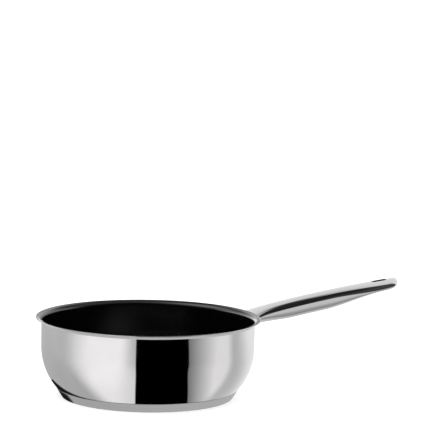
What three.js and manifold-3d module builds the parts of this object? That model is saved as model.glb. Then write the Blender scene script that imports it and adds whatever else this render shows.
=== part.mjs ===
// A 20 cm saute pan: drawn steel vessel with a pouring lip, non-stick lining, encapsulated base, hollow handle.
// Millimetres, +Z up. The origin is the centre of the base's underside, and the handle points along +X.
import * as THREE from "three";
import { mergeVertices } from "three/addons/utils/BufferGeometryUtils.js";
import Module from "manifold-3d";

const wasm = await Module();
wasm.setup();

// Vessel
const innerRadius = 100;
const bodySheet = 0.8;
const rimHeight = 75.5;
const lipReach = 6.1; // from the outer wall to the lip's edge
const lipBend = 1.5; // radius under the lip
const lipTilt = 35; // degrees that the lip's flange rises above level
const floorInset = 18.5; // from the outer wall in to the edge of the flat floor
const shoulderRise = 41.5; // from the floor's underside up to the foot of the straight wall
const heelRadius = 4; // bend between the flat floor and the bowl, on the outside

// Non-stick lining
const coatingThickness = 0.2;
const coatingDrop = 0.1; // bare steel between the lining and the rounding of the lip's edge

// Base
const capsuleSheet = 0.6;
const coreThickness = 5.8;
const capsuleRise = 2.15; // from the floor's underside up to the capsule's edge
const capsuleTaper = 5.3; // how much the capsule's side draws in from its edge to the bottom
const capsuleEdge = 1; // rounding between the capsule's side and its bottom
const capsuleLand = 0.5; // height of the bevel where the capsule's edge meets the vessel
const seamStep = 0.4; // how far the capsule's edge stands proud of the vessel

// Handle, lengths along it from the outer wall, heights above the rim
const handleLength = 176.2;
const handleSheet = 1.2;
const archRoot = -0.4; // height of the top line where it is aimed at the wall
const archCrown = 16.1; // height of the point that bends the top line into an arch
const archTip = 24.15; // height of the top line at the tip
const rootDip = 5.1; // how far the root ducks down under the lip
const dipLengths = 1.3; // the dip fades over this many lip reaches
const rootWidth = 42.8;
const gripWidth = 20.5;
const tipWidth = 24.5;
const flareLength = 14; // the fishtail root narrows to the grip over this length
const tipSpreadFrom = 98; // the tip begins to widen here
const tipSpreadTo = 161;
const rootCrownDepth = 4.4; // from the parting line up to the top, at the root
const gripCrownDepth = 6.05;
const rootBellyDepth = 8; // from the parting line down to the underside, at the root
const bellyDepth = 12;
const tipBellyDepth = 4.2;
const bellySwellFrom = 10; // the underside begins to swell here
const bellySwellTo = 62;
const bellyDrawFrom = 95; // and begins to draw in to the tip here
const bellyDrawTo = 162;
const noseLength = 11; // rounding of the tip, seen from above
const noseFullness = 0.2; // under 1, the tip stays thick for longer than it stays wide

// Root cup, inside the mouth of the handle
const cupSheet = 1;
const cupReach = 20;

// Hanging slot
const slotLength = 17;
const slotWidth = 6.6;
const slotFromTip = 20.3; // from the tip to the slot's middle
const sleeveWall = 0.9;

// Clearances
const bondGap = 0.05; // brazed, pressed and coated faces
const weldGap = 0.2; // welded edges
const seamGap = 0.15; // capsule's edge to the vessel
const fitGap = 0.3; // pieces pushed into each other

// Facets
const turnSteps = 64;
const bowlSteps = 5;
const bendSteps = 4;
const edgeSteps = 3;
const handleSteps = 22;
const sectionSteps = 12; // over half of the handle's section
const slotSteps = 8; // round each end of the slot
const noseAngles = [20, 40, 58, 72, 83];

// Worked-out sizes
const wallRadius = innerRadius + bodySheet;
const rimRadius = wallRadius + lipReach;
const coreBottom = capsuleSheet + bondGap;
const coreTop = coreBottom + coreThickness;
const floorHeight = coreTop + bondGap;
const floorRadius = wallRadius - floorInset;
const shoulderHeight = floorHeight + shoulderRise;
const heelDrop = shoulderRise - heelRadius;
const bowlRadius = (floorInset ** 2 + heelDrop ** 2 - heelRadius ** 2) / (2 * (floorInset - heelRadius));
const bowlTurn = Math.atan2(heelDrop, bowlRadius - floorInset); // from level down to the heel
const capsuleTop = floorHeight + capsuleRise;
const lipTurn = THREE.MathUtils.degToRad(90 - lipTilt);
const lipCentreRadius = wallRadius + lipBend;
const lipMiddle = lipBend + bodySheet / 2;
const flangeLength =
  (rimRadius - bodySheet / 2 - lipCentreRadius + lipMiddle * Math.cos(lipTurn)) / Math.sin(lipTurn);
const lipStart =
  rimHeight - bodySheet / 2 - lipMiddle * Math.sin(lipTurn) - flangeLength * Math.cos(lipTurn);

const steel = new THREE.MeshStandardMaterial({ color: 0xc9cbcd, roughness: 0.12, metalness: 1 });
const satinSteel = new THREE.MeshStandardMaterial({ color: 0xb9bbbd, roughness: 0.3, metalness: 1 });
const aluminium = new THREE.MeshStandardMaterial({ color: 0xaeb2b6, roughness: 0.45, metalness: 1 });
const nonstick = new THREE.MeshStandardMaterial({ color: 0x0a0a0b, roughness: 0.5, metalness: 0 });

// Points of an arc in the radius and height plane, both ends included; angles in radians from level outwards.
function arc(centreR, centreZ, radius, from, to, steps) {
  return Array.from({ length: steps + 1 }, (_, i) => {
    const angle = from + ((to - from) * i) / steps;
    return new THREE.Vector2(centreR + radius * Math.cos(angle), centreZ + radius * Math.sin(angle));
  });
}

// A closed geometry as a solid: only positions are kept, shared corners merged and collapsed facets dropped.
function solidOf(geometry) {
  geometry.deleteAttribute("normal");
  geometry.deleteAttribute("uv");
  const merged = mergeVertices(geometry, 1e-4);
  const index = merged.index.array;
  const kept = [];
  for (let i = 0; i < index.length; i += 3) {
    const [a, b, c] = index.slice(i, i + 3);
    if (a !== b && b !== c && c !== a) kept.push(a, b, c);
  }
  const vertProperties = new Float32Array(merged.attributes.position.array);
  return new wasm.Manifold(new wasm.Mesh({ numProp: 3, vertProperties, triVerts: new Uint32Array(kept) }));
}

function meshOf(name, solid, material) {
  const made = solid.getMesh();
  const geometry = new THREE.BufferGeometry();
  geometry.setAttribute("position", new THREE.BufferAttribute(made.vertProperties, 3));
  geometry.setIndex(new THREE.BufferAttribute(made.triVerts, 1));
  geometry.computeVertexNormals();
  const mesh = new THREE.Mesh(geometry, material);
  mesh.name = name;
  return mesh;
}

// A profile, counter-clockwise with the axis on its left, turned about +Z.
function turned(profile) {
  return solidOf(new THREE.LatheGeometry(profile, turnSteps).rotateX(Math.PI / 2));
}

// The sheet's face at a depth inside the outer face, from the axis up to the foot of the straight wall.
function bowlFace(depth) {
  const heelCentre = floorHeight + heelRadius;
  const heel = arc(floorRadius, heelCentre, heelRadius - depth, -Math.PI / 2, -bowlTurn, bendSteps);
  const bowlCentre = wallRadius - bowlRadius;
  const bowl = arc(bowlCentre, shoulderHeight, bowlRadius - depth, -bowlTurn, 0, bowlSteps);
  return [new THREE.Vector2(0, floorHeight + depth), ...heel, ...bowl.slice(1)];
}

// The vessel's outer radius at a height just above its floor, on the heel or on the bowl above it.
function footAt(height) {
  const heelCentre = floorHeight + heelRadius;
  if (height > heelCentre - heelRadius * Math.sin(bowlTurn)) {
    return wallRadius - bowlRadius + Math.sqrt(bowlRadius ** 2 - (shoulderHeight - height) ** 2);
  }
  return floorRadius + Math.sqrt(heelRadius ** 2 - (heelCentre - height) ** 2);
}

// The lip's bend at a depth inside the outer face, from the wall out to the flange.
function lipFace(depth) {
  return arc(lipCentreRadius, lipStart, lipBend + depth, Math.PI, Math.PI - lipTurn, bendSteps);
}

function panBody() {
  const edge = arc(
    rimRadius - bodySheet / 2,
    rimHeight - bodySheet / 2,
    bodySheet / 2,
    -lipTurn,
    Math.PI - lipTurn,
    edgeSteps,
  );
  const inside = [...bowlFace(bodySheet), ...lipFace(bodySheet)].reverse();
  return meshOf("pan_body", turned([...bowlFace(0), ...lipFace(0), ...edge, ...inside]), steel);
}

// The lining covers the inside and the lip's upper face, out to its edge.
function nonstickCoating() {
  const run = flangeLength - coatingDrop;
  const flange = new THREE.Vector2(run * Math.sin(lipTurn), run * Math.cos(lipTurn));
  const lining = (depth) => {
    const bend = lipFace(depth);
    return [...bowlFace(depth), ...bend, bend.at(-1).clone().add(flange)];
  };
  const back = lining(bodySheet + bondGap);
  const front = lining(bodySheet + bondGap + coatingThickness).reverse();
  return meshOf("nonstick_coating", turned([...back, ...front]), nonstick);
}

// The capsule's conical side: its outer radius at a height, and the same for the inside of its sheet.
const capsuleTopRadius = footAt(capsuleTop) + seamStep;
const capsuleLean = Math.atan2(capsuleTaper, capsuleTop);
const capsuleAt = (height) => capsuleTopRadius - capsuleTaper * (1 - height / capsuleTop);
const capsuleInsideAt = (height) => capsuleAt(height) - capsuleSheet / Math.cos(capsuleLean);

function baseCapsule() {
  const edgeRun = capsuleEdge * Math.tan((Math.PI / 2 - capsuleLean) / 2);
  const edgeCentre = capsuleAt(0) - edgeRun;
  const rounding = arc(edgeCentre, capsuleEdge, capsuleEdge, -Math.PI / 2, -capsuleLean, edgeSteps);
  const landHeight = capsuleTop - capsuleLand;
  const landRadius = Math.max(capsuleInsideAt(landHeight), footAt(landHeight) + seamGap);
  const profile = [
    new THREE.Vector2(0, 0),
    ...rounding,
    new THREE.Vector2(capsuleTopRadius, capsuleTop),
    new THREE.Vector2(footAt(capsuleTop) + seamGap, capsuleTop),
    new THREE.Vector2(landRadius, landHeight),
    new THREE.Vector2(capsuleInsideAt(capsuleSheet), capsuleSheet),
    new THREE.Vector2(0, capsuleSheet),
  ];
  return meshOf("base_capsule", turned(profile), steel);
}

function baseCoreDisc() {
  const profile = [
    new THREE.Vector2(0, coreBottom),
    new THREE.Vector2(capsuleInsideAt(coreBottom) - bondGap, coreBottom),
    new THREE.Vector2(capsuleInsideAt(coreTop) - bondGap, coreTop),
    new THREE.Vector2(0, coreTop),
  ];
  return meshOf("base_core_disc", turned(profile), aluminium);
}

// The handle's section at a length from the wall, drawn in by an inset: where its parting line lies, its half
// width and its height above and below that line.
function handleSection(along, inset) {
  const reach = along / handleLength;
  const arch = new THREE.QuadraticBezierCurve(
    new THREE.Vector2(0, archRoot),
    new THREE.Vector2(handleLength / 2, archCrown),
    new THREE.Vector2(handleLength, archTip),
  );
  const flare = Math.exp(-along / flareLength);
  const dip = rootDip * Math.exp(-along / (dipLengths * lipReach));
  const crownDepth = THREE.MathUtils.lerp(gripCrownDepth, rootCrownDepth, flare);
  const toBelly = THREE.MathUtils.smoothstep(along, bellySwellFrom, bellySwellTo);
  const toTip = THREE.MathUtils.smoothstep(along, bellyDrawFrom, bellyDrawTo);
  const belly = THREE.MathUtils.lerp(rootBellyDepth, bellyDepth, toBelly);
  const spread = THREE.MathUtils.smoothstep(along, tipSpreadFrom, tipSpreadTo);
  const width = THREE.MathUtils.lerp(gripWidth, rootWidth, flare) + (tipWidth - gripWidth) * spread;
  const intoNose = Math.max(0, (along - handleLength + inset + noseLength) / noseLength);
  const taper = Math.sqrt(Math.max(0, 1 - intoNose ** 2));
  const fullness = taper ** noseFullness;
  return {
    x: wallRadius + along,
    parting: rimHeight + arch.getPoint(reach).y - dip - crownDepth,
    half: (width / 2 - inset) * taper,
    up: (crownDepth - inset) * fullness,
    down: (THREE.MathUtils.lerp(belly, tipBellyDepth, toTip) - inset) * fullness,
  };
}

// Part of the handle's round section as a ring of points, counter-clockwise seen from the tip.
function handleRing(along, inset, from, to, steps, lift) {
  const section = handleSection(along, inset);
  return Array.from({ length: steps + 1 }, (_, i) => {
    const angle = from + ((to - from) * i) / steps;
    const height = Math.sin(angle) > 0 ? section.up : section.down;
    const z = section.parting + lift + (height - Math.abs(lift)) * Math.sin(angle);
    return new THREE.Vector3(section.x, section.half * Math.cos(angle), z);
  });
}

// A solid through rings of equal count, with a fan of facets over each end.
function loft(rings) {
  const count = rings[0].length;
  const points = rings.flat();
  const triangles = [];
  for (let i = 0; i + 1 < rings.length; i++) {
    for (let j = 0; j < count; j++) {
      const a = i * count + j;
      const b = i * count + ((j + 1) % count);
      triangles.push(a, b, a + count, b, b + count, a + count);
    }
  }
  const middle = (ring) => ring.reduce((sum, p) => sum.add(p), new THREE.Vector3()).divideScalar(count);
  const last = (rings.length - 1) * count;
  const first = points.push(middle(rings[0])) - 1;
  const end = points.push(middle(rings.at(-1))) - 1;
  for (let j = 0; j < count; j++) {
    const k = (j + 1) % count;
    triangles.push(first, k, j, end, last + j, last + k);
  }
  return solidOf(new THREE.BufferGeometry().setFromPoints(points).setIndex(triangles));
}

// Lengths along the handle at which it is sectioned, from behind the wall to the tip.
function handleStations(inset) {
  const from = -(wallRadius - Math.sqrt(wallRadius ** 2 - (rootWidth / 2) ** 2)) - handleSheet;
  const noseFrom = handleLength - inset - noseLength;
  const step = (noseFrom - from) / handleSteps;
  const straight = Array.from({ length: handleSteps + 1 }, (_, i) => from + i * step);
  const nose = noseAngles.map((angle) => noseFrom + noseLength * Math.sin(THREE.MathUtils.degToRad(angle)));
  return [...straight, ...nose];
}

// The handle's whole round form, drawn in by an inset.
function handleForm(inset) {
  const turn = 2 * Math.PI;
  const steps = 2 * sectionSteps;
  const ring = (along) => handleRing(along, inset, 0, turn, steps, 0).slice(0, -1);
  return loft(handleStations(inset).map(ring));
}

// The half of the handle's form on one side of the parting line.
function handleHalf(from, to, lift) {
  return loft(handleStations(0).map((along) => handleRing(along, 0, from, to, sectionSteps, lift)));
}

// Everything within a radius of the axis, over the height of the handle's root.
function wallCutter(radius) {
  return turned([
    new THREE.Vector2(0, 0),
    new THREE.Vector2(radius, 0),
    new THREE.Vector2(radius, 2 * rimHeight),
    new THREE.Vector2(0, 2 * rimHeight),
  ]);
}

// An upright post through the handle's tip with the hanging slot's outline, grown by a margin.
function slotPost(margin) {
  const radius = slotWidth / 2 + margin;
  const reach = (slotLength - slotWidth) / 2;
  const outline = new THREE.Shape();
  outline.absarc(reach, 0, radius, -Math.PI / 2, Math.PI / 2, false);
  outline.absarc(-reach, 0, radius, Math.PI / 2, (3 * Math.PI) / 2, false);
  outline.closePath();
  const post = new THREE.ExtrudeGeometry(outline, {
    depth: 2 * rimHeight,
    bevelEnabled: false,
    curveSegments: slotSteps,
  });
  return solidOf(post.translate(wallRadius + handleLength - slotFromTip, 0, 0));
}

const handleHollow = handleForm(handleSheet);
const handleEye = slotPost(sleeveWall + bondGap);

function handleShell(name, from, to, lift) {
  const skin = handleHalf(from, to, lift).subtract(handleHollow);
  return meshOf(name, skin.subtract(wallCutter(wallRadius + weldGap)).subtract(handleEye), steel);
}

// A pressed cup: its bottom lies on the wall and its side fills the mouth of the hollow handle.
function handleRootCup() {
  const inset = handleSheet + fitGap;
  const outside = handleForm(inset).subtract(wallCutter(wallRadius + weldGap));
  const inside = handleForm(inset + cupSheet).subtract(wallCutter(wallRadius + weldGap + cupSheet));
  const mouth = wallCutter(wallRadius + cupReach);
  return meshOf("handle_root_cup", outside.intersect(mouth).subtract(inside), satinSteel);
}

function hangingEyeSleeve() {
  const plug = handleForm(0).intersect(slotPost(sleeveWall));
  return meshOf("hanging_eye_sleeve", plug.subtract(slotPost(0)), steel);
}

const pan = new THREE.Group();
pan.name = "saute_pan";
pan.add(
  panBody(),
  nonstickCoating(),
  baseCoreDisc(),
  baseCapsule(),
  handleShell("handle_upper_shell", 0, Math.PI, bondGap),
  handleShell("handle_lower_shell", Math.PI, 2 * Math.PI, -bondGap),
  handleRootCup(),
  hangingEyeSleeve(),
);

export default pan;
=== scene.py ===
import math

import bpy
import bmesh
from mathutils import Matrix, Vector
from mathutils.geometry import delaunay_2d_cdt


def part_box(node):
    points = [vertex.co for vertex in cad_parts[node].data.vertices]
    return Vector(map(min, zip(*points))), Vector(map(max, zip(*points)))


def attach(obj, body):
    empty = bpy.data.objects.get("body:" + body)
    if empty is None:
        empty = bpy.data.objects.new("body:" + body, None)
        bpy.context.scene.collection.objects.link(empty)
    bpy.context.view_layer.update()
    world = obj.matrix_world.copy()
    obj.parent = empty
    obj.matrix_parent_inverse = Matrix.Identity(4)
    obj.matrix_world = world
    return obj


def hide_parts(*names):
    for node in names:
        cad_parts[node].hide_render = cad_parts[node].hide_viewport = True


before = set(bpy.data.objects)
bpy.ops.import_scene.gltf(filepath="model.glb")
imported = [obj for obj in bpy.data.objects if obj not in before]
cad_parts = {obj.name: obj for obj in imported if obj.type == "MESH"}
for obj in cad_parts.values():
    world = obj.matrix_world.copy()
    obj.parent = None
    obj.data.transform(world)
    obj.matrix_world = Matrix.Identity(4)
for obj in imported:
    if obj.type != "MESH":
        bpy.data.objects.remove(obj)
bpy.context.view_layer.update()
mm = 0.001
print("frame loaded:", len(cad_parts), "nodes")


# the photo's viewpoint: angles in degrees, lengths in millimetres, pixels of a 430 x 430 picture
viewpoint = {
    "azimuth": -27.0,  # seen from the pan, with the handle along +X
    "elevation": 10.19,
    "distance": 2309.2,
    "aimHeight": 40.16,
    "aimPixel": (147.8, 353.96),
    "focalPixels": 2426.6,
    "roll": -0.9246,
    "picture": 430,
}


def makeCamera(view):
    azimuth = math.radians(view["azimuth"])
    elevation = math.radians(view["elevation"])
    aim = Vector((0, 0, view["aimHeight"] * mm))
    back = Vector(
        (
            math.sin(azimuth) * math.cos(elevation),
            -math.cos(azimuth) * math.cos(elevation),
            math.sin(elevation),
        )
    )
    place = aim + back * view["distance"] * mm
    right = Vector((0, 0, 1)).cross(back).normalized()
    level = Matrix((right, back.cross(right), back))  # straight at the aim, upright
    half = view["picture"] / 2
    aimU, aimV = view["aimPixel"]
    towards = Vector((aimU - half, half - aimV, -view["focalPixels"]))
    turn = Vector((0, 0, -1)).rotation_difference(towards).to_matrix()  # puts the aim on its pixel
    roll = Matrix.Rotation(math.radians(view["roll"]), 3, "Z")
    data = bpy.data.cameras.new("photo_camera")
    data.sensor_width = 36
    data.lens = data.sensor_width / 2 * view["focalPixels"] / half
    data.clip_end = 100
    camera = bpy.data.objects.new("photo_camera", data)
    bpy.context.collection.objects.link(camera)
    camera.matrix_world = Matrix.Translation(place) @ (turn @ roll @ level).transposed().to_4x4()
    bpy.context.scene.camera = camera


makeCamera(viewpoint)
print("camera placed")


def smoothStep(value, low, high):
    share = min(max((value - low) / (high - low), 0), 1)
    return share * share * (3 - 2 * share)


def mix(first, second, share):
    return first + (second - first) * share


# points of an arc in the radius and height plane, angles in radians from level outwards
def arc(centre, radius, start, end, steps):
    angles = [mix(start, end, i / steps) for i in range(steps + 1)]
    return [(centre[0] + radius * math.cos(a), centre[1] + radius * math.sin(a)) for a in angles]


def straight(start, end, steps):
    return [(mix(start[0], end[0], i / steps), mix(start[1], end[1], i / steps)) for i in range(steps + 1)]


def newPiece(name, mesh, material, slotName, *replaced):
    piece = bpy.data.objects.new(name, mesh)
    bpy.context.collection.objects.link(piece)
    piece.data.materials.append(material)
    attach(piece, "root")
    if replaced:
        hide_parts(*replaced)
    return piece


# a strip of faces between two closed rings of as many points
def joinRings(bm, first, second):
    for i in range(len(first)):
        k = (i + 1) % len(first)
        bm.faces.new([first[i], first[k], second[k], second[i]])


def smoothMesh(bm, name):
    bmesh.ops.recalc_face_normals(bm, faces=bm.faces)
    mesh = bpy.data.meshes.new(name)
    bm.to_mesh(mesh)
    bm.free()
    mesh.shade_smooth()
    return mesh


# a profile that starts and ends on the axis, turned about it into a closed skin
def turnedMesh(name, profile, turnSteps):
    nearest = 1e-7  # closer points are one
    sharpAngle = math.radians(40)  # faces that meet at more than this keep a sharp edge
    outline = [profile[0]]
    for point in profile[1:]:
        if math.dist(point, outline[-1]) > nearest:
            outline.append(point)
    bm = bmesh.new()
    rings = []
    for radius, height in outline:
        count = turnSteps if radius > nearest else 1
        angles = [2 * math.pi * i / turnSteps for i in range(count)]
        rings.append([bm.verts.new((radius * math.cos(a), radius * math.sin(a), height)) for a in angles])
    for lower, upper in zip(rings, rings[1:]):
        for i in range(turnSteps):
            k = (i + 1) % turnSteps
            corners = [lower[i % len(lower)], lower[k % len(lower)]]
            corners += [upper[k % len(upper)], upper[i % len(upper)]]
            bm.faces.new(list(dict.fromkeys(corners)))
    mesh = smoothMesh(bm, name)
    mesh.set_sharp_from_angle(angle=sharpAngle)
    return mesh


# node helpers for the finishes
def newFinish(name):
    material = bpy.data.materials.new(name)
    material.use_nodes = True
    return material, material.node_tree, material.node_tree.nodes["Principled BSDF"]


def addNode(tree, kind, **settings):
    node = tree.nodes.new(kind)
    for key, value in settings.items():
        setattr(node, key, value)
    return node


def objectPoint(tree):
    return addNode(tree, "ShaderNodeTexCoord").outputs["Object"]


# turned pieces: radius in X and height in Z, so a pattern runs round the axis in fine lines
def turnedPoint(tree, drift):
    apart = addNode(tree, "ShaderNodeSeparateXYZ")
    tree.links.new(objectPoint(tree), apart.inputs[0])
    flat = addNode(tree, "ShaderNodeCombineXYZ")
    tree.links.new(apart.outputs["X"], flat.inputs["X"])
    tree.links.new(apart.outputs["Y"], flat.inputs["Y"])
    radius = addNode(tree, "ShaderNodeVectorMath", operation="LENGTH")
    tree.links.new(flat.outputs[0], radius.inputs[0])
    slow = addNode(tree, "ShaderNodeMath", operation="MULTIPLY")
    slow.inputs[1].default_value = drift
    tree.links.new(apart.outputs["X"], slow.inputs[0])
    point = addNode(tree, "ShaderNodeCombineXYZ")
    tree.links.new(radius.outputs["Value"], point.inputs["X"])
    tree.links.new(slow.outputs[0], point.inputs["Y"])
    tree.links.new(apart.outputs["Z"], point.inputs["Z"])
    return point.outputs[0]


# long pieces: stretched along X, so a pattern runs along the handle
def drawnPoint(tree, stretch):
    mapping = addNode(tree, "ShaderNodeMapping")
    mapping.inputs["Scale"].default_value = (stretch, 1, 1)
    tree.links.new(objectPoint(tree), mapping.inputs["Vector"])
    return mapping.outputs[0]


def noise(tree, point, scale, detail):
    node = addNode(tree, "ShaderNodeTexNoise")
    node.inputs["Scale"].default_value = scale
    node.inputs["Detail"].default_value = detail
    tree.links.new(point, node.inputs["Vector"])
    return node.outputs["Fac"]


# a value carried over from one range into another
def ranged(tree, value, target, source=(0, 1)):
    node = addNode(tree, "ShaderNodeMapRange")
    node.inputs["From Min"].default_value = source[0]
    node.inputs["From Max"].default_value = source[1]
    node.inputs["To Min"].default_value = target[0]
    node.inputs["To Max"].default_value = target[1]
    tree.links.new(value, node.inputs["Value"])
    return node.outputs["Result"]


def added(tree, first, second):
    node = addNode(tree, "ShaderNodeMath", operation="ADD")
    tree.links.new(first, node.inputs[0])
    tree.links.new(second, node.inputs[1])
    return node.outputs[0]


def toned(tree, value, dark, pale, source=(0.3, 0.7)):
    node = addNode(tree, "ShaderNodeValToRGB")
    for element, position, color in zip(node.color_ramp.elements, source, (dark, pale)):
        element.position = position
        element.color = (*color, 1)
    tree.links.new(value, node.inputs["Fac"])
    return node.outputs["Color"]


def bumped(tree, shader, height, strength, depth):
    node = addNode(tree, "ShaderNodeBump")
    node.inputs["Strength"].default_value = strength
    node.inputs["Distance"].default_value = depth
    tree.links.new(height, node.inputs["Height"])
    tree.links.new(node.outputs["Normal"], shader.inputs["Normal"])


# mirror-polished steel: faint polishing lines, wiped smears that dull it a little, and hardly any tone change
polish = {
    "dark": (0.81, 0.795, 0.8),
    "pale": (0.865, 0.85, 0.855),
    "gloss": (0.035, 0.075),
    "smearScale": 34,
    "smearDetail": 5,
    "smearRange": (0.35, 0.7),
    "lineScale": 2600,
    "lineDetail": 3,
    "lineDrift": 0.004,  # of the lines round a turned piece
    "lineStretch": 0.006,  # of the lines along the handle
    "lineGloss": (-0.01, 0.015),
    "lineBump": 0.02,
    "lineDepth": 0.02 * mm,
}


def polishedSteel(name, turned):
    material, tree, shader = newFinish(name)
    linePoint = turnedPoint(tree, polish["lineDrift"]) if turned else drawnPoint(tree, polish["lineStretch"])
    lines = noise(tree, linePoint, polish["lineScale"], polish["lineDetail"])
    smears = noise(tree, objectPoint(tree), polish["smearScale"], polish["smearDetail"])
    shader.inputs["Metallic"].default_value = 1
    smeared = ranged(tree, smears, polish["gloss"], polish["smearRange"])
    lined = ranged(tree, lines, polish["lineGloss"])
    tree.links.new(added(tree, smeared, lined), shader.inputs["Roughness"])
    tree.links.new(toned(tree, smears, polish["dark"], polish["pale"]), shader.inputs["Base Color"])
    bumped(tree, shader, lines, polish["lineBump"], polish["lineDepth"])
    return material


# satin base: turned on a lathe, so fine rings run round it and blur what it mirrors
turning = {
    "dark": (0.7, 0.695, 0.7),
    "pale": (0.76, 0.755, 0.76),
    "gloss": (0.13, 0.2),
    "smearScale": 40,
    "smearDetail": 4,
    "smearRange": (0.3, 0.7),
    "ringScale": 3200,
    "ringDetail": 4,
    "ringDrift": 0.003,
    "ringGloss": (-0.03, 0.05),
    "ringBump": 0.05,
    "ringDepth": 0.03 * mm,
}


def satinSteel(name):
    material, tree, shader = newFinish(name)
    ringPoint = turnedPoint(tree, turning["ringDrift"])
    rings = noise(tree, ringPoint, turning["ringScale"], turning["ringDetail"])
    smears = noise(tree, objectPoint(tree), turning["smearScale"], turning["smearDetail"])
    shader.inputs["Metallic"].default_value = 1
    smeared = ranged(tree, smears, turning["gloss"], turning["smearRange"])
    ringed = ranged(tree, rings, turning["ringGloss"])
    tree.links.new(added(tree, smeared, ringed), shader.inputs["Roughness"])
    tree.links.new(toned(tree, rings, turning["dark"], turning["pale"]), shader.inputs["Base Color"])
    bumped(tree, shader, rings, turning["ringBump"], turning["ringDepth"])
    return material


# black lining: sprayed, so it has a fine orange-peel grain, tiny pale flecks and an uneven sheen
spray = {
    "dark": (0.001, 0.0008, 0.0011),
    "pale": (0.0026, 0.0021, 0.0028),
    "gloss": (0.15, 0.21),
    "index": 1.8,  # of refraction, high for its sheen
    "sheenScale": 26,
    "sheenDetail": 4,
    "sheenRange": (0.3, 0.7),
    "fleckScale": 900,
    "fleckDetail": 1,
    "fleckRange": (0.5, 0.72),
    "grainScale": 2200,
    "grainDetail": 2,
    "grainGloss": (-0.05, 0.05),
    "grainBump": 0.14,
    "grainDepth": 0.04 * mm,
}


def blackNonstick(name):
    material, tree, shader = newFinish(name)
    point = objectPoint(tree)
    grain = noise(tree, point, spray["grainScale"], spray["grainDetail"])
    flecks = noise(tree, point, spray["fleckScale"], spray["fleckDetail"])
    sheen = noise(tree, point, spray["sheenScale"], spray["sheenDetail"])
    dulled = ranged(tree, sheen, spray["gloss"], spray["sheenRange"])
    grained = ranged(tree, grain, spray["grainGloss"])
    color = toned(tree, flecks, spray["dark"], spray["pale"], spray["fleckRange"])
    tree.links.new(added(tree, dulled, grained), shader.inputs["Roughness"])
    tree.links.new(color, shader.inputs["Base Color"])
    shader.inputs["IOR"].default_value = spray["index"]
    bumped(tree, shader, grain, spray["grainBump"], spray["grainDepth"])
    return material


# hidden sheet and core: plain rolled metal with a dull, blotchy surface
rolling = {
    "aluminium": ((0.6, 0.61, 0.62), (0.74, 0.75, 0.76)),  # dark and pale
    "steel": ((0.56, 0.56, 0.57), (0.68, 0.68, 0.69)),
    "gloss": (0.35, 0.5),
    "blotchScale": 60,
    "blotchDetail": 5,
    "blotchRange": (0.3, 0.7),
    "grainScale": 1400,
    "grainDetail": 3,
    "grainStretch": 0.02,
    "grainBump": 0.08,
    "grainDepth": 0.03 * mm,
}


def rolledMetal(name, metal):
    material, tree, shader = newFinish(name)
    blotches = noise(tree, objectPoint(tree), rolling["blotchScale"], rolling["blotchDetail"])
    grainPoint = drawnPoint(tree, rolling["grainStretch"])
    grain = noise(tree, grainPoint, rolling["grainScale"], rolling["grainDetail"])
    shader.inputs["Metallic"].default_value = 1
    dulled = ranged(tree, blotches, rolling["gloss"], rolling["blotchRange"])
    tree.links.new(dulled, shader.inputs["Roughness"])
    tree.links.new(toned(tree, blotches, *rolling[metal]), shader.inputs["Base Color"])
    bumped(tree, shader, grain, rolling["grainBump"], rolling["grainDepth"])
    return material


vesselSteel = polishedSteel("polished_vessel_steel", True)
handleSteel = polishedSteel("polished_handle_steel", False)
baseSteel = satinSteel("turned_base_steel")
nonstickBlack = blackNonstick("black_nonstick_lining")
coreAluminium = rolledMetal("rolled_core_aluminium", "aluminium")
cupSteel = rolledMetal("pressed_cup_steel", "steel")
print("finishes made")


# drawn vessel, lengths in metres: its overall sizes come from the frame
vesselLow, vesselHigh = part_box("pan_body")
vessel = {
    "rimRadius": vesselHigh.y,
    "rimHeight": vesselHigh.z,
    "floorHeight": vesselLow.z,
    "sheet": 0.8 * mm,
    "lipReach": 5.7 * mm,  # from the outer wall to the lip's edge
    "lipBend": 3 * mm,  # radius under the lip
    "lipTilt": 15,  # degrees that the lip's flange rises above level
    "floorInset": 18.8 * mm,  # from the outer wall in to the flat floor
    "shoulderRise": 41.5 * mm,  # from the floor up to the straight wall
    "heelRadius": 4 * mm,
    "turnSteps": 256,
    "arcSteps": 28,
    "edgeSteps": 16,
    "flangeSteps": 8,
}
wallRadius = vessel["rimRadius"] - vessel["lipReach"]
floorHeight = vessel["floorHeight"]
floorRadius = wallRadius - vessel["floorInset"]
shoulderHeight = floorHeight + vessel["shoulderRise"]
heelDrop = vessel["shoulderRise"] - vessel["heelRadius"]
bowlRadius = (vessel["floorInset"] ** 2 + heelDrop**2 - vessel["heelRadius"] ** 2) / (
    2 * (vessel["floorInset"] - vessel["heelRadius"])
)
bowlTurn = math.atan2(heelDrop, bowlRadius - vessel["floorInset"])
lipTurn = math.radians(90 - vessel["lipTilt"])
lipCentre = wallRadius + vessel["lipBend"]
edgeRadius = vessel["sheet"] / 2
lipMiddle = vessel["lipBend"] + edgeRadius
flangeReach = vessel["rimRadius"] - edgeRadius - lipCentre + lipMiddle * math.cos(lipTurn)
flangeLength = flangeReach / math.sin(lipTurn)
flangeRise = lipMiddle * math.sin(lipTurn) + flangeLength * math.cos(lipTurn)
lipStart = vessel["rimHeight"] - edgeRadius - flangeRise


# the sheet's face at a depth inside the outer face, from the axis up to the lip's bend
def vesselFace(depth, top):
    steps = vessel["arcSteps"]
    heelCentre = (floorRadius, floorHeight + vessel["heelRadius"])
    heel = arc(heelCentre, vessel["heelRadius"] - depth, -math.pi / 2, -bowlTurn, steps)
    bowl = arc((wallRadius - bowlRadius, shoulderHeight), bowlRadius - depth, -bowlTurn, 0, 2 * steps)
    wall = straight((wallRadius - depth, shoulderHeight), (wallRadius - depth, top), steps)
    floor = straight((0, floorHeight + depth), (floorRadius, floorHeight + depth), steps)
    return floor + heel + bowl + wall


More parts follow.
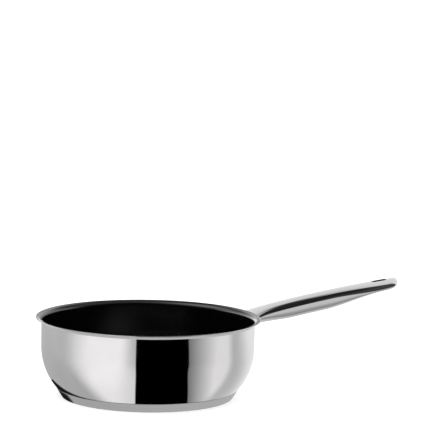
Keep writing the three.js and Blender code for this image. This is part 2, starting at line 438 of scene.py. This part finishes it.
def lipFace(depth):
    radius = vessel["lipBend"] + depth
    return arc((lipCentre, lipStart), radius, math.pi, math.pi - lipTurn, vessel["arcSteps"])


def makeVessel():
    edgeCentre = (vessel["rimRadius"] - edgeRadius, vessel["rimHeight"] - edgeRadius)
    edge = arc(edgeCentre, edgeRadius, -lipTurn, math.pi - lipTurn, vessel["edgeSteps"])
    under = lipFace(0)
    upper = lipFace(vessel["sheet"])
    underFlange = straight(under[-1], edge[0], vessel["flangeSteps"])[1:-1]
    upperFlange = straight(upper[-1], edge[-1], vessel["flangeSteps"])[1:-1]
    outside = vesselFace(0, lipStart) + under + underFlange + edge
    inside = vesselFace(vessel["sheet"], lipStart) + upper + upperFlange
    mesh = turnedMesh("vessel", outside + inside[::-1], vessel["turnSteps"])
    return newPiece("vessel", mesh, vesselSteel, "polished_steel", "pan_body")


makeVessel()
print("vessel turned")


# non-stick lining, sprayed over the inside and the lip's upper face
coat = {
    "thickness": 0.2 * mm,
    "bond": 0.05 * mm,
    "drop": 0.1 * mm,  # bare steel left below the lip's edge
}


def liningFace(depth):
    bend = lipFace(depth)
    run = flangeLength - coat["drop"]
    end = (bend[-1][0] + run * math.sin(lipTurn), bend[-1][1] + run * math.cos(lipTurn))
    return vesselFace(depth, lipStart) + bend + straight(bend[-1], end, vessel["flangeSteps"])[1:]


def makeLining():
    back = liningFace(vessel["sheet"] + coat["bond"])
    front = liningFace(vessel["sheet"] + coat["bond"] + coat["thickness"])
    mesh = turnedMesh("lining", back + front[::-1], vessel["turnSteps"])
    return newPiece("lining", mesh, nonstickBlack, "black_nonstick", "nonstick_coating")


liningPiece = makeLining()
print("lining sprayed")


# base capsule: a pressed cup round the aluminium core, with a fine dark seam where it meets the vessel
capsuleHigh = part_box("base_capsule")[1]
capsule = {
    "top": capsuleHigh.z,
    "topRadius": capsuleHigh.y,
    "taper": 5.3 * mm,  # how far its side draws in towards the bottom
    "sheet": 0.6 * mm,
    "edge": 1 * mm,  # rounding of the lower edge
    "brim": 0.06 * mm,  # rounding of the upper edge
    "seam": 0.06 * mm,
    "land": 0.5 * mm,  # height of the bevel inside the brim
    "floorSteps": 40,
    "edgeSteps": 12,
    "sideSteps": 12,
    "brimSteps": 10,
}


# the vessel's outer radius just above its floor, on the bowl's arc
def footAt(height):
    return wallRadius - bowlRadius + math.sqrt(bowlRadius**2 - (shoulderHeight - height) ** 2)


def capsuleAt(height):
    return capsule["topRadius"] - capsule["taper"] * (1 - height / capsule["top"])


def makeCapsule():
    top = capsule["top"]
    lean = math.atan2(capsule["taper"], top)
    edge = capsule["edge"]
    edgeCentre = (capsuleAt(0) - edge * math.tan((math.pi / 2 - lean) / 2), edge)
    lower = arc(edgeCentre, edge, -math.pi / 2, -lean, capsule["edgeSteps"])
    brim = capsule["brim"]
    brimCentre = (capsule["topRadius"] - brim * math.tan((math.pi / 2 + lean) / 2), top - brim)
    upper = arc(brimCentre, brim, -lean, math.pi / 2, capsule["brimSteps"])
    landHeight = top - capsule["land"]
    wall = capsule["sheet"] / math.cos(lean)
    landRadius = max(capsuleAt(landHeight) - wall, footAt(landHeight) + capsule["seam"])
    profile = straight((0, 0), lower[0], capsule["floorSteps"]) + lower[1:]
    profile += straight(lower[-1], upper[0], capsule["sideSteps"])[1:-1] + upper
    profile.append((footAt(top) + capsule["seam"], top))
    profile.append((landRadius, landHeight))
    profile.append((capsuleAt(capsule["sheet"]) - wall, capsule["sheet"]))
    profile.append((0, capsule["sheet"]))
    mesh = turnedMesh("base_shell", profile, vessel["turnSteps"])
    return newPiece("base_shell", mesh, baseSteel, "base_steel", "base_capsule")


baseShell = makeCapsule()
print("base capsule pressed")


# hollow handle: one seamless polished skin over the two welded shells and the slot's sleeve
handle = {
    "length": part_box("handle_upper_shell")[1].x - wallRadius,
    "archRoot": -0.4 * mm,  # the top line above the rim, where it is aimed at the wall
    "archCrown": 16.6 * mm,  # at the point that bends it into an arch
    "archTip": 23.72 * mm,  # and at the tip
    "rootDip": 5.1 * mm,  # how far the root ducks down under the lip
    "dipLength": 7.9 * mm,
    "rootWidth": 42.8 * mm,
    "gripWidth": 20.5 * mm,
    "tipWidth": 24.5 * mm,
    "flareLength": 14 * mm,  # over which the fishtail root narrows
    "tipSpread": (98 * mm, 161 * mm),
    "rootCrownDepth": 5.2 * mm,  # from the widest line up to the top
    "gripCrownDepth": 6.8 * mm,
    "tipCrownDepth": 7.7 * mm,
    "crownDeepens": (100 * mm, 140 * mm),
    "rootBellyDepth": 7.6 * mm,  # from the widest line down to the underside
    "bellyDepth": 12 * mm,
    "tipBellyDepth": 2.95 * mm,
    "bellySwell": (0, 60 * mm),
    "bellyDraw": (93 * mm, 161 * mm),
    "noseLength": 12 * mm,  # over which the tip rounds in from the sides
    "noseTop": 2.5 * mm,  # and from the top
    "noseLow": 17 * mm,  # and from below
    "noseRise": 34 * mm,  # over which its widest line climbs to the tip
    "noseDrop": 2.6 * mm,  # from the top line down to the tip's foremost point
    "trim": 0.03 * mm,  # keeps the smooth skin inside the box of the faceted shells
    "weldGap": 0.2 * mm,
    "stations": 150,
    "stationPower": 1.25,  # over 1, they lie closer together at the root
    "noseStations": 26,
    "sides": 112,
}
slot = {
    "length": 17 * mm,
    "width": 6.6 * mm,
    "fromTip": 20.22 * mm,
    "roll": 0.35 * mm,  # rounding of the slot's edges
    "margin": 2.2 * mm,  # plain skin kept round the rounded edge
    "rollSteps": 7,
    "endSteps": 22,
    "sideSteps": 10,
}


# what is left of a size where the tip rounds off over a length
def noseShare(along, length):
    into = max(0, (along - handle["length"]) / length + 1)
    return math.sqrt(max(0, 1 - into**2))


# the section at a distance from the wall: height of its widest line, half width, height above and depth below
def handleSection(along):
    reach = along / handle["length"]
    arch = (
        (1 - reach) ** 2 * handle["archRoot"]
        + 2 * reach * (1 - reach) * handle["archCrown"]
        + reach**2 * handle["archTip"]
    )
    flare = math.exp(-along / handle["flareLength"])
    dip = handle["rootDip"] * math.exp(-along / handle["dipLength"])
    crown = mix(handle["gripCrownDepth"], handle["rootCrownDepth"], flare)
    crown = mix(crown, handle["tipCrownDepth"], smoothStep(along, *handle["crownDeepens"]))
    belly = mix(handle["rootBellyDepth"], handle["bellyDepth"], smoothStep(along, *handle["bellySwell"]))
    belly = mix(belly, handle["tipBellyDepth"], smoothStep(along, *handle["bellyDraw"]))
    spread = smoothStep(along, *handle["tipSpread"])
    width = mix(mix(handle["gripWidth"], handle["rootWidth"], flare), handle["tipWidth"], spread)
    drop = handle["noseDrop"]
    topShare = noseShare(along, handle["noseTop"])
    lowShare = noseShare(along, handle["noseLow"])
    rise = (crown - drop) * noseShare(along, handle["noseRise"])
    parting = vessel["rimHeight"] + arch - dip - drop - rise
    up = (drop - handle["trim"]) * topShare + rise
    down = (crown - drop + belly) * lowShare - rise
    return parting, width / 2 * noseShare(along, handle["noseLength"]), up, down


def handlePoint(along, angle):
    parting, half, up, down = handleSection(along)
    height = up if math.sin(angle) > 0 else down
    return Vector((wallRadius + along, half * math.cos(angle), parting + height * math.sin(angle)))


def handleNormal(along, angle):
    alongStep = 0.05 * mm
    angleStep = 1e-3
    furthest = handle["length"] - 1e-3 * mm
    lengthwise = handlePoint(min(along + alongStep, furthest), angle) - handlePoint(along - alongStep, angle)
    around = handlePoint(along, angle + angleStep) - handlePoint(along, angle - angleStep)
    return around.cross(lengthwise).normalized()


# where the skin meets the wall at an angle round the section
def rootAlong(angle):
    reach = wallRadius + handle["weldGap"]
    along = 0
    for _ in range(8):  # closes in on the meeting point
        across = handlePoint(along, angle).y
        along = math.sqrt(reach**2 - across**2) - wallRadius
    return along


# distances from the wall of the skin's points at an angle round the section
def stationsAt(angle):
    root = rootAlong(angle)
    noseFrom = handle["length"] - handle["noseLength"]
    shares = [(i / handle["stations"]) ** handle["stationPower"] for i in range(handle["stations"] + 1)]
    turns = [math.pi / 2 * i / handle["noseStations"] for i in range(1, handle["noseStations"])]
    nose = [noseFrom + handle["noseLength"] * math.sin(turn) for turn in turns]
    return [mix(root, noseFrom, share) for share in shares] + nose


# rings of the skin's points from the root to the tip, each point with its distance and angle
def skinGrid(bm, normals):
    columns = []
    for j in range(handle["sides"]):
        angle = 2 * math.pi * j / handle["sides"]
        column = [(bm.verts.new(handlePoint(along, angle)), along, angle) for along in stationsAt(angle)]
        for vert, along, _ in column:
            normals[vert] = handleNormal(along, angle)
        columns.append(column)
    return list(zip(*columns))


# the slot's outline grown by an offset, with the direction from each point in to the slot's middle line
def slotOutline(offset):
    radius = slot["width"] / 2 + offset
    reach = (slot["length"] - slot["width"]) / 2
    middle = handle["length"] - slot["fromTip"]
    points = []
    for side in (1, -1):
        for i in range(slot["endSteps"]):
            angle = -math.pi / 2 + math.pi * i / slot["endSteps"]
            outward = Vector((side * math.cos(angle), side * math.sin(angle)))
            points.append((Vector((middle + side * reach, 0)) + outward * radius, -outward))
        for i in range(slot["sideSteps"]):
            share = i / slot["sideSteps"]
            place = Vector((middle + side * mix(reach, -reach, share), side * radius))
            points.append((place, Vector((0, -side))))
    return points


def skinAngle(along, across, upper):
    half = handleSection(along)[1]
    angle = math.acos(min(max(across / half, -1), 1))
    return angle if upper else 2 * math.pi - angle


# rounded edge of the slot on one face: the skin's ring of points at each step of the roll, outermost first
def slotRings(bm, normals, upper):
    sink = -1 if upper else 1
    rows = [(0, slot["margin"] / 2)]  # tilt, and distance outside the roll
    rows += [(math.pi / 2 * i / slot["rollSteps"], 0) for i in range(slot["rollSteps"] + 1)]
    rings = []
    for tilt, beyond in rows:
        ring = []
        for place, inward in slotOutline(slot["roll"] * (1 - math.sin(tilt)) + beyond):
            angle = skinAngle(place.x, place.y, upper)
            point = handlePoint(place.x, angle)
            point.z += sink * slot["roll"] * (1 - math.cos(tilt))
            vert = bm.verts.new(point)
            outward = handleNormal(place.x, angle)
            normals[vert] = (outward * math.cos(tilt) + inward.to_3d() * math.sin(tilt)).normalized()
            ring.append((vert, place.x, angle))
        rings.append(ring)
    return rings


# the grid's rows and columns that are left open for the slot on one face
def slotWindow(grid, upper):
    middle = handle["length"] - slot["fromTip"]
    spare = slot["roll"] + slot["margin"]
    start = middle - slot["length"] / 2 - spare
    end = middle + slot["length"] / 2 + spare
    wide = slot["width"] / 2 + spare
    first = max(i for i, ring in enumerate(grid) if max(entry[1] for entry in ring) < start)
    last = min(i for i, ring in enumerate(grid) if min(entry[1] for entry in ring) > end)
    low, high = sorted(skinAngle(start, side * wide, upper) for side in (1, -1))
    perSide = 2 * math.pi / handle["sides"]
    return first, last, math.floor(low / perSide), math.ceil(high / perSide)


# fills the gap that was left in the skin's grid between its border and the ring round the slot
def fillWindow(bm, border, ring):
    known = border + ring
    flat = [Vector((along, handlePoint(along, angle).y)) for _, along, angle in known]
    count = len(border)
    edges = [(i, (i + 1) % count) for i in range(count)]
    edges += [(count + i, count + (i + 1) % len(ring)) for i in range(len(ring))]
    insideOnly = 1  # of the border
    nearest = 1e-9
    for face in delaunay_2d_cdt(flat, edges, [], insideOnly, nearest)[2]:
        if min(face) < count:  # a face with all its corners on the ring lies in the slot
            bm.faces.new([known[i][0] for i in face])


# closes the skin up to the slot's rounded edge on one face, and gives the edge's last ring
def edgeSlot(bm, normals, grid, window, upper):
    first, last, low, high = window
    border = [grid[first][j] for j in range(low, high + 1)]
    border += [grid[i][high] for i in range(first + 1, last + 1)]
    border += [grid[last][j] for j in range(high - 1, low - 1, -1)]
    border += [grid[i][low] for i in range(last - 1, first, -1)]
    rings = slotRings(bm, normals, upper)
    fillWindow(bm, border, rings[0])
    loops = [[entry[0] for entry in ring] for ring in rings]
    for outer, inner in zip(loops, loops[1:]):
        joinRings(bm, outer, inner)
    return loops[-1]


def makeHandle():
    bm = bmesh.new()
    normals = {}
    grid = skinGrid(bm, normals)
    faces = (True, False)  # upper and lower
    windows = [slotWindow(grid, upper) for upper in faces]
    sides = handle["sides"]
    for i in range(len(grid) - 1):
        for j in range(sides):
            if any(first <= i < last and low <= j < high for first, last, low, high in windows):
                continue
            k = (j + 1) % sides
            bm.faces.new([grid[i][j][0], grid[i][k][0], grid[i + 1][k][0], grid[i + 1][j][0]])
    tip = bm.verts.new(handlePoint(handle["length"], 0))
    normals[tip] = Vector((1, 0, 0))
    for j in range(sides):
        bm.faces.new([grid[-1][j][0], grid[-1][(j + 1) % sides][0], tip])
    edges = [edgeSlot(bm, normals, grid, window, upper) for window, upper in zip(windows, faces)]
    joinRings(bm, *edges)
    mouth = [entry[0] for entry in grid[0]]  # closed behind the weld, in strips that follow the wall
    for j in range(sides // 2):
        corners = [mouth[j], mouth[j + 1], mouth[sides - j - 1], mouth[(sides - j) % sides]]
        bm.faces.new(list(dict.fromkeys(corners)))
    ordered = [normals[vert] for vert in bm.verts]
    mesh = smoothMesh(bm, "handle_skin")
    mesh.normals_split_custom_set_from_vertices(ordered)
    return newPiece(
        "handle_skin",
        mesh,
        handleSteel,
        "handle_steel",
        "handle_upper_shell",
        "handle_lower_shell",
        "hanging_eye_sleeve",
    )


handlePiece = makeHandle()
print("handle lofted")


# weld bead: a slim ground line of weld where the handle's root meets the wall
weld = {"radius": 0.5 * mm, "sides": 10, "steps": 160}


def makeWeld():
    bm = bmesh.new()
    rings = []
    for i in range(weld["steps"]):
        angle = 2 * math.pi * i / weld["steps"]
        along = rootAlong(angle)
        centre = handlePoint(along, angle)
        outward = handleNormal(along, angle)
        fromAxis = Vector((centre.x, centre.y, 0)).normalized()
        across = (outward - fromAxis * outward.dot(fromAxis)).normalized()
        ring = []
        for j in range(weld["sides"]):
            turn = 2 * math.pi * j / weld["sides"]
            offset = math.cos(turn) * across + math.sin(turn) * fromAxis
            ring.append(bm.verts.new(centre + weld["radius"] * offset))
        rings.append(ring)
    for i in range(weld["steps"]):
        joinRings(bm, rings[i], rings[(i + 1) % weld["steps"]])
    return newPiece("weld_bead", smoothMesh(bm, "weld_bead"), handleSteel, "handle_steel")


makeWeld()
print("weld laid")


# pieces inside keep their solids and get a plain metal finish
def dressNode(name, material):
    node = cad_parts[name]
    node.data.materials.clear()
    node.data.materials.append(material)


dressNode("base_core_disc", coreAluminium)
dressNode("handle_root_cup", cupSteel)
print("inner pieces finished")


# studio as the camera sees it, in millimetres and degrees: x to the right, y away, turns from the front
studio = {
    "reach": 3000,  # of the table and the room
    "span": (86, 480),  # distances from the pan's axis that the two values of a pair belong to
    "ceiling": 0.017,  # overhead and in front
    "farDark": 0.05,  # the table far in front
    "footShade": 0.01,  # painted shade at the pan's foot at the left, which the steel mirrors
}


def onCircle(radius, degrees, height):
    angle = math.radians(degrees)
    return radius * math.sin(angle), -radius * math.cos(angle), height


# a unit direction from an angle from the front and an elevation
def direction(azimuth, elevation):
    level = math.cos(math.radians(elevation))
    return Vector(onCircle(level, azimuth, math.sin(math.radians(elevation))))


# an angle from the front for a share of the full turn, from -180 to 180
def turnAngle(share):
    return 360 * share if share <= 0.5 else 360 * share - 360


# share of the way outwards from the pan, by equal ratios
def outwardShare(radius):
    low, high = studio["span"]
    return min(max(math.log(radius / low) / math.log(high / low), 0), 1)


# 1 between two values and 0 outside them, with soft edges
def ridge(value, low, high, softness):
    rise = smoothStep(value, low - softness, low + softness)
    return rise * (1 - smoothStep(value, high - softness, high + softness))


# a level read off between stops
def between(value, stops):
    level = stops[0][1]
    for (low, before), (high, after) in zip(stops, stops[1:]):
        if value > low:
            level = mix(before, after, min((value - low) / (high - low), 1))
    return level


# a surface that glows at the level stored at each of its points; a clear one lets what is behind it through
def glowMaterial(name, clear):
    material = bpy.data.materials.new(name)
    material.use_nodes = True
    tree = material.node_tree
    tree.nodes.remove(tree.nodes["Principled BSDF"])
    level = addNode(tree, "ShaderNodeAttribute", attribute_name="level")
    glow = addNode(tree, "ShaderNodeEmission")
    tree.links.new(level.outputs["Fac"], glow.inputs["Strength"])
    surface = glow
    if clear:
        surface = addNode(tree, "ShaderNodeAddShader")
        tree.links.new(glow.outputs[0], surface.inputs[0])
        tree.links.new(addNode(tree, "ShaderNodeBsdfTransparent").outputs[0], surface.inputs[1])
    tree.links.new(surface.outputs[0], tree.nodes["Material Output"].inputs["Surface"])
    return material


# a stage surface that only reflections see; its point and level come from a row's and a column's share
def reflectionCard(name, look, pointAt, levelAt, closed=True, clear=False):
    columns, rows = look["columns"], look["rows"]
    stops = columns if closed else columns + 1
    verts = []
    levels = []
    for i in range(rows + 1):
        for j in range(stops):
            verts.append([value * mm for value in pointAt(i / rows, j / columns)])
            levels.append(levelAt(i / rows, j / columns))
    faces = []
    for i in range(rows):
        for j in range(columns):
            a, b = i * stops + j, i * stops + (j + 1) % stops
            faces.append((a, b, b + stops, a + stops))
    mesh = bpy.data.meshes.new(name)
    mesh.from_pydata(verts, [], faces)
    stored = mesh.attributes.new("level", "FLOAT", "POINT")
    stored.data.foreach_set("value", levels)
    mesh.materials.append(glowMaterial(name, clear))
    card = bpy.data.objects.new(name, mesh)
    bpy.context.collection.objects.link(card)
    card.rotation_euler.z = math.radians(viewpoint["azimuth"])
    card.visible_camera = False
    card.visible_diffuse = False
    card.visible_shadow = False
    return card


# lets a card light some pieces alone, or every piece but those
def linkLight(card, state, *pieces):
    group = bpy.data.collections.new(card.name + "_light")
    for piece in pieces:
        group.objects.link(piece)
    for entry in group.collection_objects:
        entry.light_linking.link_state = state
    card.light_linking.receiver_collection = group


# table top as the vessel mirrors it: white card at the left, black flag in front, pale card at the right
table = {
    "columns": 900,
    "rows": 240,
    "height": 0.05,
    "near": 60,  # its rows lie close together from here
    "middle": 520,  # to here
    "middleShare": 0.85,
    "flagLeft": (-8.05, -11.1),  # sides of the black flag
    "flagRight": (28.35, 39.5),
    "flagBlack": 0,
    "flagSoft": 0.4,
    "leftEdge": (-80, 49.7, 1.3),  # back edge of the white card: turn far away, swing near the pan, fall-off
    "leftSoft": (9, 20),
    "leftSoftens": (0.1, 0.6),  # over this share of the way outwards
    "leftWhite": (0.92, 1.0),
    "leftWhitens": (0, 0.3),
    "leftGrey": (0.45, 0.53),
    "flagSide": (0.86, 0.55),  # how far the white card fades towards the flag
    "flagFade": (0, 16),  # over these degrees
    "rightRise": (0.2, 0.83),  # the pale card, from the flag's side outwards
    "rightWidth": (20, 33),
    "rightEnd": (515, 560),  # where it gives way to the dark far in front
    "gapTurn": (104, -51, 1.34),  # the grey gap behind that card, as for the left edge
    "gapFrom": (-15, -3),  # degrees from its middle, over which the card gives way to it
    "gapGrey": 0.53,
    "wallFrom": -2,  # a white wall behind the gap, full at the end of the gap's width
    "gapWidth": (44, 27),
    "wallWhite": 0.85,
    "backBlend": (140, 180),  # both sides meet behind the pan
    "footTurns": (34, 100),  # the painted foot shade's edge leaves the pan by a power of the turn
    "footRate": 0.0024,
    "footPower": 2.2,
    "footSoft": (-0.8, 1.2),
    "footEnds": (36, 125, 8),  # turns where it begins and ends, and their softness
}


# an edge that swings as it nears the pan
def swungTurn(radius, edge):
    far, swing, power = edge
    return far + swing * (studio["span"][0] / radius) ** power


# the flag's two sides at a distance from the pan's axis
def flagSides(radius):
    share = smoothStep(outwardShare(radius), 0, 1)
    return mix(*table["flagLeft"], share), mix(*table["flagRight"], share)


def leftTable(turn, radius, fromFlag):
    share = outwardShare(radius)
    edge = swungTurn(radius, table["leftEdge"])
    soft = mix(*table["leftSoft"], smoothStep(share, *table["leftSoftens"]))
    white = mix(*table["leftWhite"], smoothStep(share, *table["leftWhitens"]))
    level = mix(mix(*table["leftGrey"], share), white, smoothStep(turn, edge - soft, edge + soft))
    return level * mix(mix(*table["flagSide"], share), 1, smoothStep(fromFlag, *table["flagFade"]))


def rightTable(turn, radius, fromFlag):
    share = outwardShare(radius)
    level = mix(*table["rightRise"], min(max(fromFlag / mix(*table["rightWidth"], share), 0), 1))
    level = mix(level, studio["farDark"], smoothStep(radius, *table["rightEnd"]))
    pastGap = turn - swungTurn(radius, table["gapTurn"])
    wall = smoothStep(pastGap, table["wallFrom"], mix(*table["gapWidth"], share))
    behind = mix(table["gapGrey"], table["wallWhite"], wall)
    return mix(level, behind, smoothStep(pastGap, *table["gapFrom"]))


def tableLevel(turn, radius):
    flagLeft, flagRight = flagSides(radius)
    left = leftTable(turn, radius, flagLeft - turn)
    right = rightTable(turn, radius, turn - flagRight)
    toRight = smoothStep(turn, flagLeft, flagRight)
    level = mix(left, right, mix(toRight, 0.5, smoothStep(abs(turn), *table["backBlend"])))
    level = mix(level, table["flagBlack"], ridge(turn, flagLeft, flagRight, table["flagSoft"]))
    # painted shade at the pan's foot, at the back left, which the steel mirrors
    footFrom, footTo = table["footTurns"]
    swing = min(max(-turn, footFrom), footTo) - footFrom
    footEdge = studio["span"][0] + table["footRate"] * swing ** table["footPower"]
    inFootShade = smoothStep(footEdge - radius, *table["footSoft"]) * ridge(-turn, *table["footEnds"])
    return mix(level, studio["footShade"], inFootShade)


def tableRadius(share):
    near, middle, middleShare = table["near"], table["middle"], table["middleShare"]
    if share < middleShare:
        return near * (middle / near) ** (share / middleShare)
    return middle * (studio["reach"] / middle) ** ((share - middleShare) / (1 - middleShare))


def tablePoint(share, turn):
    return onCircle(tableRadius(share), 360 * turn, table["height"])


def tableShade(share, turn):
    return tableLevel(turnAngle(turn), tableRadius(share))


tableCard = reflectionCard("table_reflection", table, tablePoint, tableShade)
linkLight(tableCard, "EXCLUDE", baseShell, handlePiece)


# the base's own card: nearly even, with painted shade at the pan's foot at its left end
baseTable = {
    "columns": 360,
    "rows": 40,
    "height": 0.1,
    "radius": (70, 110),
    "level": (0.47, 0.53),  # from left to right
    "turns": (-70, 40),
    "footStart": -104,
    "footEnd": -57,  # at the capsule's edge, slanting with the distance from it
    "footSlant": 1.8,
    "footRadius": 81.3,
    "footSoft": 1.5,
}


def basePoint(share, turn):
    return onCircle(mix(*baseTable["radius"], share), 360 * turn, baseTable["height"])


def baseShade(share, turn):
    angle = turnAngle(turn)
    level = mix(*baseTable["level"], smoothStep(angle, *baseTable["turns"]))
    # painted shade at the foot, at the capsule's left end
    outside = mix(*baseTable["radius"], share) - baseTable["footRadius"]
    footEnd = baseTable["footEnd"] - baseTable["footSlant"] * outside
    inFootShade = ridge(angle, baseTable["footStart"], footEnd, baseTable["footSoft"])
    return mix(level, studio["footShade"], inFootShade)


baseCard = reflectionCard("base_reflection", baseTable, basePoint, baseShade, clear=True)
linkLight(baseCard, "INCLUDE", baseShell)


# the handle's own table: a painted shadow just below the handle, dark far in front of it
bellyTable = {
    "columns": 360,
    "rows": 160,
    "height": 0.08,
    # distance from below the handle towards the camera, and level, which dips for the painted shadow under
    # the handle
    "stops": ((-50, 0.62), (-5, 0.5), (14, 0.27), (34, 0.33), (76, 0.5), (100, 0.61)),
    "end": (395, 430),  # where it gives way to the dark
}


def bellyPoint(share, turn):
    return onCircle(tableRadius(share), 360 * turn, bellyTable["height"])


def bellyShade(share, turn):
    ahead = tableRadius(share) * math.cos(math.radians(turnAngle(turn) + viewpoint["azimuth"]))
    return mix(between(ahead, bellyTable["stops"]), studio["farDark"], smoothStep(ahead, *bellyTable["end"]))


bellyCard = reflectionCard("handle_reflection", bellyTable, bellyPoint, bellyShade, clear=True)
linkLight(bellyCard, "INCLUDE", handlePiece)


# faint arched card over the handle's line, which only the tip mirrors
tipGlow = {
    "columns": 24,
    "rows": 60,
    "radius": 300,
    "arch": 120,  # degrees, from the front over the top
    "rise": (308, 348),  # where it begins and where it is full, from the pan's axis
    "end": 640,
    "level": 0.037,
}


def tipAlong(share):
    return mix(tipGlow["rise"][0], tipGlow["end"], share)


def tipPoint(share, turn):
    radius = tipGlow["radius"]
    lift = math.radians(tipGlow["arch"] * turn)
    ahead = onCircle(radius * math.cos(lift), -viewpoint["azimuth"], radius * math.sin(lift))
    along = onCircle(tipAlong(share), 90 - viewpoint["azimuth"], 0)
    return Vector(ahead) + Vector(along)


def tipShade(share, turn):
    return tipGlow["level"] * smoothStep(tipAlong(share), *tipGlow["rise"])


tipCard = reflectionCard("tip_reflection", tipGlow, tipPoint, tipShade, closed=False, clear=True)
linkLight(tipCard, "INCLUDE", handlePiece)


# the room above the table: bright behind, dark overhead and in front
room = {
    "columns": 180,
    "rows": 90,
    "low": 0.93,  # backdrop at the horizon
    "high": 0.67,  # backdrop at its upper edge
    "top": 65,
    "topSoft": (-2, 3),  # degrees from the upper edge
    "side": (94, 110),  # where the backdrop begins
    "glow": 0.1,  # a faint patch on each side of the front
    "glowTurns": ((8, 20), (34, 46)),
    "glowHeights": ((2, 14), (40, 60)),
}


# 1 between a rise and a fall, 0 outside them
def patch(value, rise, fall):
    return smoothStep(value, *rise) * (1 - smoothStep(value, *fall))


def roomPoint(share, turn):
    elevation = math.pi / 2 * share
    reach = studio["reach"]
    return onCircle(reach * math.cos(elevation), 360 * turn, reach * math.sin(elevation))


def roomShade(share, turn):
    aside = abs(turnAngle(turn))
    elevation = 90 * share
    below = 1 - smoothStep(elevation - room["top"], *room["topSoft"])
    backdrop = mix(room["low"], room["high"], elevation / room["top"])
    glow = patch(aside, *room["glowTurns"]) * patch(elevation, *room["glowHeights"])
    dark = mix(studio["ceiling"], room["glow"], glow)
    return mix(dark, backdrop, smoothStep(aside, *room["side"]) * below)


roomCard = reflectionCard("room_reflection", room, roomPoint, roomShade)
linkLight(roomCard, "EXCLUDE", liningPiece)


# the room that only the lining sees: bright low behind it, with two soft boxes high at the sides
liningRoom = {
    "columns": 180,
    "rows": 90,
    "share": 0.95,  # of the room's reach
    "side": (75, 105),  # where the backdrop begins
    # elevation and level behind it, to the left and to the right
    "left": ((0, 2.4), (7, 2.2), (12, 1.3), (20, 1), (26, 0.72), (30, 0.36), (34, 0.08), (38, 0.02)),
    "right": ((0, 0.1), (8, 0.6), (14, 0.85), (22, 0.9), (26, 0.95), (30, 0.6), (34, 0.18), (38, 0.03)),
    # angle from the front, elevation, spread, level
    "boxes": ((-98, 56, 27, 1.7), (110, 55, 24, 0.35)),
}


def liningPoint(share, turn):
    return [liningRoom["share"] * value for value in roomPoint(share, turn)]


def liningShade(share, turn):
    azimuth = turnAngle(turn)
    elevation = 90 * share
    back = between(elevation, liningRoom["left"] if azimuth < 0 else liningRoom["right"])
    level = mix(studio["ceiling"], back, smoothStep(abs(azimuth), *liningRoom["side"]))
    for boxTurn, boxHeight, spread, strength in liningRoom["boxes"]:
        apart = direction(azimuth, elevation).angle(direction(boxTurn, boxHeight), 0)
        level += strength * math.exp(-((math.degrees(apart) / spread) ** 2))
    return level


liningCard = reflectionCard("lining_reflection", liningRoom, liningPoint, liningShade, clear=True)
linkLight(liningCard, "INCLUDE", liningPiece)


# pale ring under the lip, which only reflections see: a painted reflection on the lip's underside
lipRing = {
    "columns": 120,
    "rows": 2,
    "radius": (101.28, 109),
    "turn": (-115, 95),
    "height": (71.45, 70),
    "level": 0.54,
}


def ringPoint(share, turn):
    radius = mix(*lipRing["radius"], share)
    return onCircle(radius, mix(*lipRing["turn"], turn), mix(*lipRing["height"], share))


def ringShade(share, turn):
    return lipRing["level"]


reflectionCard("lip_reflection", lipRing, ringPoint, ringShade, closed=False)
print("reflections set")


# pale floor: it takes the pan's soft shadow and reads as white to the camera
floorLook = {
    "size": 12,
    "drop": 0.1 * mm,  # below the pan
    "color": (0.9, 0.9, 0.9),
    "roughness": 0.9,
    "lift": 0.62,  # glow that only the camera sees
}


def makeFloor():
    mesh = bpy.data.meshes.new("floor")
    reach = floorLook["size"]
    corners = [(-reach, -reach), (reach, -reach), (reach, reach), (-reach, reach)]
    mesh.from_pydata([(x, y, -floorLook["drop"]) for x, y in corners], [], [(0, 1, 2, 3)])
    material, tree, shader = newFinish("pale_floor")
    shader.inputs["Base Color"].default_value = (*floorLook["color"], 1)
    shader.inputs["Roughness"].default_value = floorLook["roughness"]
    shader.inputs["Specular IOR Level"].default_value = 0
    path = addNode(tree, "ShaderNodeLightPath")
    lift = addNode(tree, "ShaderNodeMath", operation="MULTIPLY")
    lift.inputs[1].default_value = floorLook["lift"]
    tree.links.new(path.outputs["Is Camera Ray"], lift.inputs[0])
    shader.inputs["Emission Color"].default_value = (1, 1, 1, 1)
    tree.links.new(lift.outputs[0], shader.inputs["Emission Strength"])
    mesh.materials.append(material)
    floor = bpy.data.objects.new("floor", mesh)
    bpy.context.collection.objects.link(floor)
    floor.visible_glossy = False  # the steel sees the table's reflection card instead


makeFloor()
print("floor laid")


# soft studio light: an even white room and one large lamp above the camera's left
light = {"room": 0.7, "lamp": 14, "size": 1.6, "place": (-1.1, -0.7, 2.2)}


def makeLight():
    world = bpy.data.worlds.new("studio")
    bpy.context.scene.world = world
    world.use_nodes = True
    tree = world.node_tree
    path = addNode(tree, "ShaderNodeLightPath")
    seen = addNode(tree, "ShaderNodeMath", operation="MAXIMUM")
    tree.links.new(path.outputs["Is Camera Ray"], seen.inputs[0])
    tree.links.new(path.outputs["Is Glossy Ray"], seen.inputs[1])
    strength = ranged(tree, seen.outputs[0], (light["room"], 1))
    tree.links.new(strength, tree.nodes["Background"].inputs["Strength"])
    tree.nodes["Background"].inputs["Color"].default_value = (1, 1, 1, 1)
    lamp = bpy.data.lights.new("soft_lamp", "AREA")
    lamp.energy = light["lamp"]
    lamp.size = light["size"]
    holder = bpy.data.objects.new("soft_lamp", lamp)
    bpy.context.collection.objects.link(holder)
    holder.location = light["place"]
    holder.rotation_euler = (-holder.location).to_track_quat("-Z", "Y").to_euler()
    holder.visible_glossy = False


makeLight()
bpy.context.scene.view_settings.view_transform = "Standard"
print("light set")
